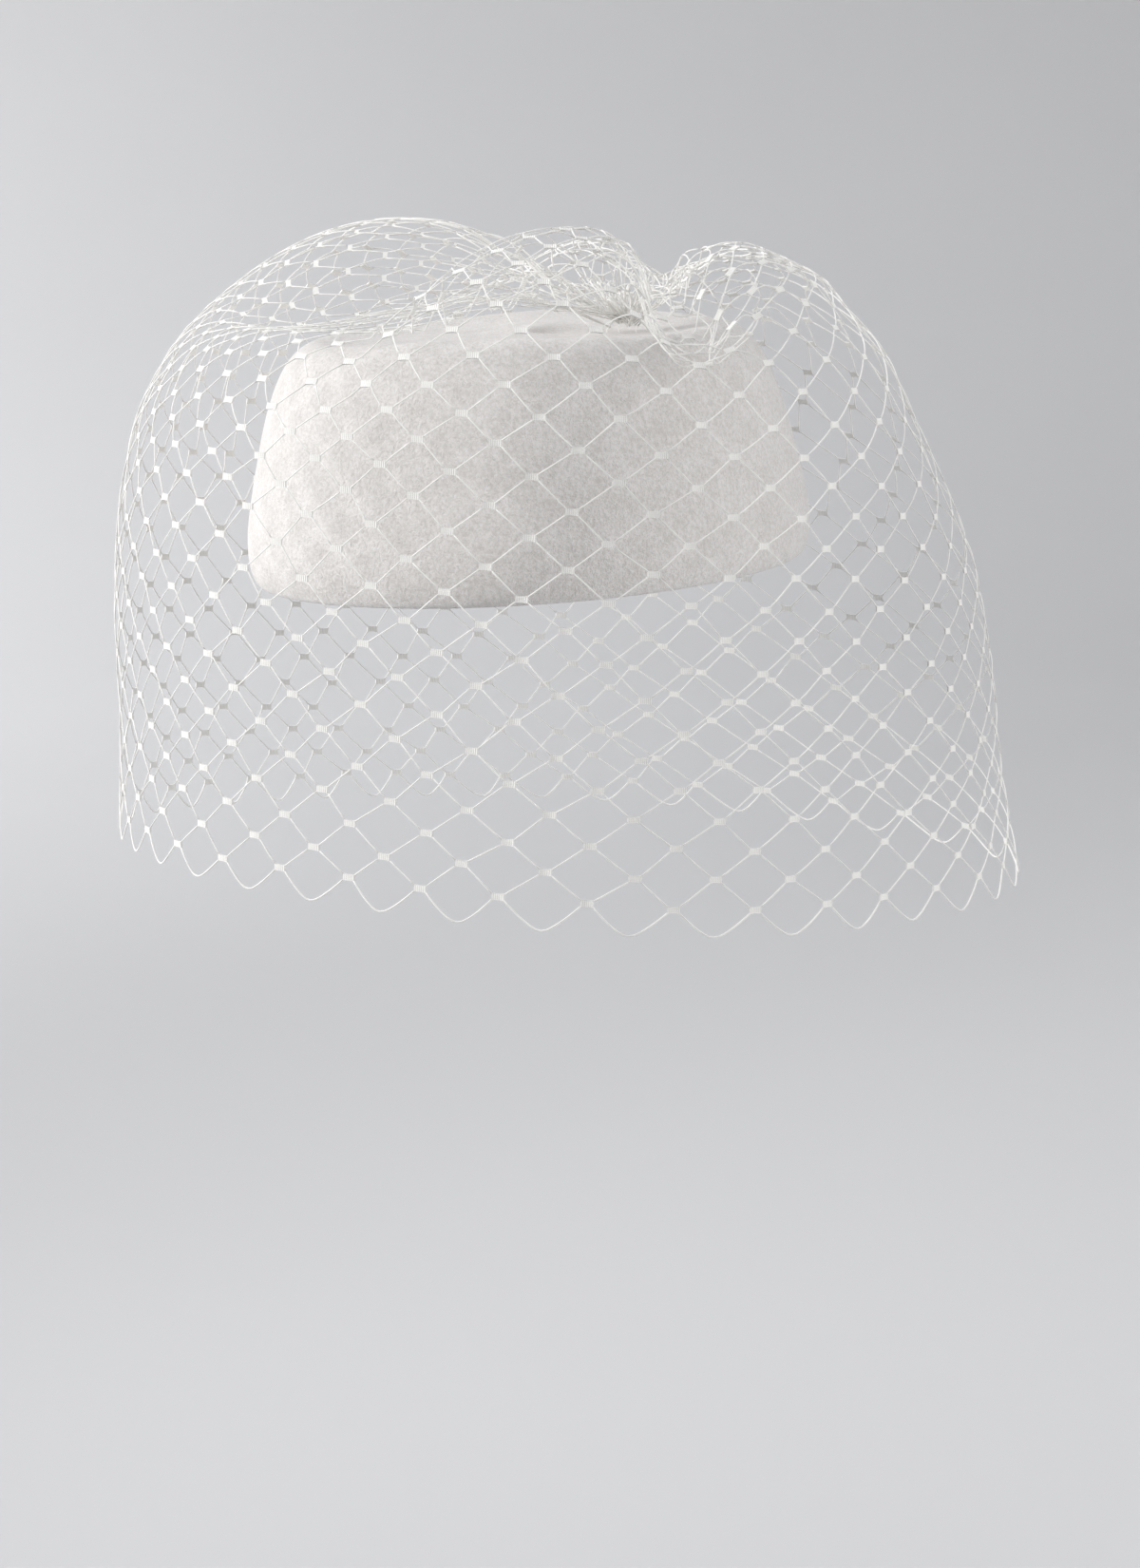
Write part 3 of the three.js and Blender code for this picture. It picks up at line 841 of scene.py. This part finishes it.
class HAT_OT_gather(bpy.types.Operator):
    """Bind the gathered netting with thread, with its cut edge standing up in a small ruffle"""

    bl_idname = "hat.gather"
    bl_label = "Gather"

    def execute(self, context):
        settings = context.scene.hat_net
        centre = np.array(GATHER, dtype=float)
        kinds = (
            ("ruffle", self.ruffle(centre), RUFFLE["points"], 1),
            ("winding", self.winding(centre), WINDING["points"], WINDING["thickness"]),
            ("sewn", self.stitches(centre), STITCHES["points"], STITCHES["thickness"]),
        )
        gather = joined("gather_thread", [
            loose_strands(name, settings, lines, points, thickness)
            for name, lines, points, thickness in kinds
        ])
        dressed(gather, "veil", thread_finish(settings.colour))
        return {"FINISHED"}

    def ruffle(self, centre):
        """The loops of the netting's cut edge, each a little different."""
        lines = []
        for i in range(RUFFLE["loops"]):
            toss = tossed(np.array(float(i)), np.array(3.0))
            angle = 2 * math.pi * (i + RUFFLE["turn"] * toss[0]) / RUFFLE["loops"]
            tall = RUFFLE["height"][0] + RUFFLE["height"][1] * toss[1]
            lean = RUFFLE["reach"][0] + RUFFLE["reach"][1] * toss[2]
            lines.append([
                centre + (RUFFLE["foot"] + lean * out) * heading(angle + RUFFLE["width"] * share)
                + (0, 0, tall * high)
                for share, out, high in RUFFLE_LOOP
            ])
        return lines

    def winding(self, centre):
        """The thread wound round the foot of the ruffle."""
        (swell, swells), (rise, rises) = WINDING_WAVES
        line = []
        for i in range(WINDING["turns"] * WINDING["steps"] + 1):
            turn = 2 * math.pi * i / WINDING["steps"]
            reach = WINDING["reach"] + swell * math.sin(swells * turn)
            high = WINDING["foot"] + WINDING["pitch"] * i / WINDING["steps"]
            high += rise * math.sin(rises * turn)
            line.append(centre + reach * heading(turn) + (0, 0, high))
        return [line]

    def stitches(self, centre):
        """The stitches that hold the gather to the felt."""
        foot = centre + (0, 0, STITCHES["foot"])
        lines = []
        for i in range(STITCHES["count"]):
            turn = 2 * math.pi * (i + STITCHES["turn"]) / STITCHES["count"]
            side = heading(turn + math.pi / 2)
            lines.append([
                foot + out * heading(turn) + aside * side + (0, 0, high)
                for out, aside, high in STITCH
            ])
        return lines


class HAT_OT_hem(bpy.types.Operator):
    """Hang the rounded loops of the hem from the lowest knots"""

    bl_idname = "hat.hem"
    bl_label = "Hem Loops"

    def execute(self, context):
        settings = context.scene.hat_net
        share = np.linspace(-1, 1, HEM_POINTS)
        starts = np.arange(NET_COLUMNS, dtype=float)
        column = starts[:, None] + 0.5 + 0.5 * share[None, :]
        drop = 1 - np.sqrt(share**2 + HEM_ROUND)
        drop -= drop[0]
        row = np.repeat((1 - drop / drop.max())[None, :], NET_COLUMNS, axis=0)
        middle, _, _, out = net_frame(column, row)
        corner, lift = knot_corner(settings)
        shifts = []
        for end, side in ((0, 1), (-1, -1)):
            here, round_it, up_it, _, _ = knot_frame(column[:, end], row[:, end])
            shifts.append(here + side * corner * round_it - lift * up_it - middle[:, end])
        ease = ((share + 1) / 2)[None, :, None]
        near = np.abs(share[None, :, None])
        path = middle + near * (shifts[0][:, None] * (1 - ease) + shifts[1][:, None] * ease)
        half = HEM_THICKNESS * settings.strand / 2
        template = bar_template(HEM_SIDES, HEM_POINTS)
        hem = laid_bars("hem_loops", template, path, out, half, half)
        dressed(hem, "veil", thread_finish(settings.colour))
        return {"FINISHED"}


class HAT_OT_studio(bpy.types.Operator):
    """Set up the floor, the lights and the camera at the photo's view"""

    bl_idname = "hat.studio"
    bl_label = "Studio"

    def execute(self, context):
        settings = context.scene.hat_studio
        self.dish(context, settings)
        self.lights(context)
        self.camera(context)
        return {"FINISHED"}

    def dish(self, context, settings):
        """A round seamless floor that curves up all round."""
        deselected()
        bpy.ops.mesh.primitive_circle_add(vertices=96, radius=FLOOR_MIDDLE, fill_type="NGON")
        floor = context.object
        floor.name = floor.data.name = "studio_floor"
        bpy.ops.object.mode_set(mode="EDIT")
        bpy.ops.mesh.select_all(action="SELECT")
        bpy.ops.transform.translate(value=(0, 0, settings.floor))
        bpy.ops.mesh.normals_make_consistent(inside=False)
        bpy.ops.mesh.select_all(action="SELECT")
        bpy.ops.mesh.poke()
        bpy.ops.mesh.select_all(action="DESELECT")
        edit = bmesh.from_edit_mesh(floor.data)
        for edge in edit.edges:
            edge.select_set(edge.is_boundary)
        bmesh.update_edit_mesh(floor.data)
        steps = [(FLOOR_FLAT, 0.0)]
        for degrees in range(10, 91, 10):
            angle = math.radians(degrees)
            out, up = math.sin(angle), 1 - math.cos(angle)
            steps.append((FLOOR_FLAT + FLOOR_SWEEP * out, FLOOR_SWEEP * up))
        steps.append((WALL_REACH, WALL_RISE))
        reach, rise = FLOOR_MIDDLE, 0.0
        for next_reach, next_rise in steps:
            bpy.ops.mesh.extrude_edges_move()
            bpy.ops.transform.translate(value=(0, 0, next_rise - rise))
            scale = next_reach / reach
            bpy.ops.transform.resize(value=(scale, scale, 1), center_override=(0, 0, 0))
            reach, rise = next_reach, next_rise
        bpy.ops.mesh.select_all(action="SELECT")
        bpy.ops.mesh.faces_shade_smooth()
        bpy.ops.object.mode_set(mode="OBJECT")
        floor.data.materials.append(plain_finish("seamless_grey", settings.colour, 0.9))

    def lights(self, context):
        world = bpy.data.worlds.new("pale_room")
        world.use_nodes = True
        room = world.node_tree.nodes["Background"]
        room.inputs["Color"].default_value = ROOM_COLOUR
        room.inputs["Strength"].default_value = ROOM_STRENGTH
        context.scene.world = world
        back, right = view_ways()[:2]
        back = Vector((back.x, back.y, 0)).normalized()
        for name, kind, place, aim, size, power in LIGHTS:
            lamp = bpy.data.lights.new(name, kind)
            if kind == "SPOT":
                lamp.shadow_soft_size = size / 2
                lamp.spot_size = math.radians(WINDOW_ANGLE)
                lamp.spot_blend = WINDOW_BLEND
            else:
                lamp.shape = "SQUARE"
                lamp.size = size
            lamp.energy = power
            light = bpy.data.objects.new(name, lamp)
            place, aim = (right * x + back * y + Vector((0, 0, z)) for x, y, z in (place, aim))
            light.location = place
            light.rotation_euler = (aim - place).to_track_quat("-Z", "Y").to_euler()
            context.collection.objects.link(light)
        context.scene.view_settings.view_transform = "Standard"

    def camera(self, context):
        lens = bpy.data.cameras.new("photo_view")
        lens.sensor_width = SENSOR
        lens.lens = VIEW["focal"] * SENSOR / max(PICTURE)
        lens.clip_start = 0.01
        camera = bpy.data.objects.new("photo_view", lens)
        context.collection.objects.link(camera)
        back = view_ways()[0]
        place = back * VIEW["distance"]
        camera.matrix_world = Matrix.Translation(place) @ view_turn().to_4x4()
        context.scene.camera = camera


def view_ways():
    """The directions back towards the camera, to its right and up, before it is rolled."""
    azimuth, elevation = math.radians(VIEW["azimuth"]), math.radians(VIEW["elevation"])
    back = Vector((
        math.sin(azimuth) * math.cos(elevation),
        -math.cos(azimuth) * math.cos(elevation),
        math.sin(elevation),
    ))
    right = (-back).cross(Vector((0, 0, 1))).normalized()
    return back, right, right.cross(-back)


def view_turn():
    """The camera's turn: rolled, and aimed so that the origin falls at its place in the picture."""
    back, right, up = view_ways()
    roll = math.radians(VIEW["roll"])
    rolled_right = math.cos(roll) * right + math.sin(roll) * up
    rolled_up = math.cos(roll) * up - math.sin(roll) * right
    ways = Matrix((rolled_right, rolled_up, back)).transposed()
    aside = (VIEW["origin_at"][0] - PICTURE[0] / 2) / VIEW["focal"]
    above = (PICTURE[1] / 2 - VIEW["origin_at"][1]) / VIEW["focal"]
    sight = Vector((aside, above, -1)).normalized()
    tip = Matrix.Rotation(-math.atan2(sight.y, -sight.z), 3, "X")
    sight = tip @ sight
    swing = Matrix.Rotation(math.atan2(sight.x, -sight.z), 3, "Y")
    return ways @ (swing @ tip)


class HAT_PT_panel(bpy.types.Panel):
    bl_idname = "HAT_PT_panel"
    bl_label = "Veiled Pillbox Hat"
    bl_space_type = "VIEW_3D"
    bl_region_type = "UI"
    bl_category = "Hat"

    def draw(self, context):
        for group in (context.scene.hat_felt, context.scene.hat_net, context.scene.hat_studio):
            box = self.layout.box()
            for name in group.bl_rna.properties.keys():
                if name not in ("rna_type", "name"):
                    box.prop(group, name)
        for operator in OPERATORS:
            self.layout.operator(operator.bl_idname)


OPERATORS = (
    HAT_OT_felt, HAT_OT_net_strands, HAT_OT_net_knots, HAT_OT_hem, HAT_OT_curls, HAT_OT_gather,
    HAT_OT_studio,
)
GROUPS = {"hat_felt": FeltSettings, "hat_net": NetSettings, "hat_studio": StudioSettings}


def register():
    for item in (*GROUPS.values(), *OPERATORS, HAT_PT_panel):
        bpy.utils.register_class(item)
    for name, group in GROUPS.items():
        setattr(bpy.types.Scene, name, PointerProperty(type=group))


def unregister():
    for name in GROUPS:
        delattr(bpy.types.Scene, name)
    for item in (HAT_PT_panel, *reversed(OPERATORS), *GROUPS.values()):
        bpy.utils.unregister_class(item)


def main():
    register()
    bpy.ops.hat.felt()
    bpy.ops.hat.net_strands()
    bpy.ops.hat.net_knots()
    bpy.ops.hat.hem()
    bpy.ops.hat.curls()
    bpy.ops.hat.gather()
    bpy.ops.hat.studio()


if __name__ == "__main__":
    main()
